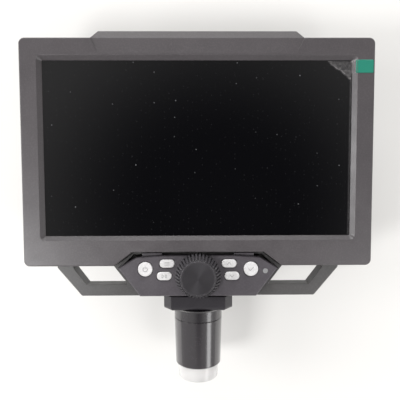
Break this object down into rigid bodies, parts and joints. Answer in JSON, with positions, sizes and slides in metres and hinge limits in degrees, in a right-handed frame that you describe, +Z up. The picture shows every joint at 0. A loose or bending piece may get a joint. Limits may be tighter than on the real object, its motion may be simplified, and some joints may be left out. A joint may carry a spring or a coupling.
{
  "type": "lcd digital microscope",
  "caption": "Inspection microscope head: flat screen in a bevelled bezel, ribbed focus knob and buttons below, camera barrel pointing down, bore for a stand post",
  "frame": {"origin": "on the axis of the stand post's bore, level with the lower edge of the screen housing", "axes": "+Z up along the post bore, +X to the user's right, the screen faces -Y"},
  "size_m": [0.227, 0.0647, 0.2347],
  "materials": {
    "housing_plastic": "fine moulded grain",
    "knob_plastic": "ribbed, satin",
    "knob_disc": "black anodised, turned",
    "screen_glass": "polished",
    "display_black": "switched off",
    "clear_film": "thin protective film",
    "green_tab": "printed film",
    "steel": "plated",
    "circuit_board": "solder resist",
    "chip_black": "moulded",
    "cell_wrap": "shrink wrap",
    "button_white": "satin",
    "lamp_clear": "frosted",
    "lamp_white": "phosphor",
    "brass": "turned",
    "acetal": "natural",
    "anodised": "black anodised",
    "barrel_gloss": "polished",
    "tip_clear": "clear acrylic",
    "lens_glass": "coated"
  },
  "bodies": {
    "housing": {"front_bezel": "housing_plastic", "rear_cover": "housing_plastic", "lower_frame": "housing_plastic", "neck_housing": "housing_plastic", "control_panel": "housing_plastic", "screen_glass": "screen_glass", "lcd_panel": "display_black", "protective_film": "clear_film", "film_tab": "green_tab", "lcd_back_plate": "steel", "board_screws": "steel", "case_screws": "steel", "neck_screws": "steel", "frame_screws": "steel", "panel_screws": "steel", "button_board_screws": "steel", "usb_socket": "steel", "card_socket": "steel", "main_board": "circuit_board", "left_button_board": "circuit_board", "right_button_board": "circuit_board", "led_board": "circuit_board", "processor_chip": "chip_black", "tact_switches": "chip_black", "battery_tray": "chip_black", "battery_cells": "cell_wrap", "indicator_lens": "lamp_clear", "indicator_led": "lamp_white", "ring_leds": "lamp_white", "shaft_bush": "brass", "guide_bush": "brass", "clamp_ring": "brass", "barrel_collar": "barrel_gloss", "barrel_sleeve": "barrel_gloss", "clear_tip": "tip_clear"},
    "focus_drive": {"focus_knob": "knob_plastic", "knob_face": "knob_disc", "focus_shaft": "steel", "focus_pinion": "brass", "shaft_clip": "steel"},
    "camera_carriage": {"lens_carriage": "anodised", "focus_rack": "acetal", "front_lens": "lens_glass", "rear_lens": "lens_glass", "lens_retainer": "anodised", "sensor_board": "circuit_board", "image_sensor": "chip_black"},
    "clamp_drive": {"clamp_knob": "knob_plastic", "clamp_screw": "steel"},
    "clamp_shoe": {"clamp_pad": "brass"},
    "power_button_body": {"power_button": "button_white"},
    "confirm_button_body": {"confirm_button": "button_white"},
    "menu_button_body": {"menu_button": "button_white"},
    "play_button_body": {"play_button": "button_white"},
    "up_button_body": {"up_button": "button_white"},
    "down_button_body": {"down_button": "button_white"}
  },
  "joints": [
    {"name": "focus_turn", "type": "hinge", "parent": "housing", "child": "focus_drive", "pos_m": [0, -0.0445, -0.0072], "axis": [0, -1, 0], "range_deg": [-95.5, 95.5]},
    {"name": "focus_travel", "type": "slide", "parent": "housing", "child": "camera_carriage", "axis": [0, 0, 1], "range_m": [-0.005, 0.005]},
    {"name": "clamp_turn", "type": "hinge", "parent": "housing", "child": "clamp_drive", "pos_m": [0.02335, 0, 0.031], "axis": [-1, 0, 0], "range_deg": [0, 357]},
    {"name": "clamp_travel", "type": "slide", "parent": "housing", "child": "clamp_shoe", "axis": [-1, 0, 0], "range_m": [0, 0.00099]},
    {"name": "power_button_press", "type": "slide", "parent": "housing", "child": "power_button_body", "axis": [0, 1, 0], "range_m": [0, 0.0005], "stiffness_N_per_m": 400, "springref_m": -0.0003},
    {"name": "confirm_button_press", "type": "slide", "parent": "housing", "child": "confirm_button_body", "axis": [0, 1, 0], "range_m": [0, 0.0005], "stiffness_N_per_m": 400, "springref_m": -0.0003},
    {"name": "menu_button_press", "type": "slide", "parent": "housing", "child": "menu_button_body", "axis": [0, 1, 0], "range_m": [0, 0.0005], "stiffness_N_per_m": 400, "springref_m": -0.0003},
    {"name": "play_button_press", "type": "slide", "parent": "housing", "child": "play_button_body", "axis": [0, 1, 0], "range_m": [0, 0.0005], "stiffness_N_per_m": 400, "springref_m": -0.0003},
    {"name": "up_button_press", "type": "slide", "parent": "housing", "child": "up_button_body", "axis": [0, 1, 0], "range_m": [0, 0.0005], "stiffness_N_per_m": 400, "springref_m": -0.0003},
    {"name": "down_button_press", "type": "slide", "parent": "housing", "child": "down_button_body", "axis": [0, 1, 0], "range_m": [0, 0.0005], "stiffness_N_per_m": 400, "springref_m": -0.0003}
  ],
  "couplings": [
    {"joint": "focus_turn", "follows": "focus_travel", "rad_per_m": 333.33},
    {"joint": "clamp_turn", "follows": "clamp_travel", "rad_per_m": 6283.2}
  ]
}
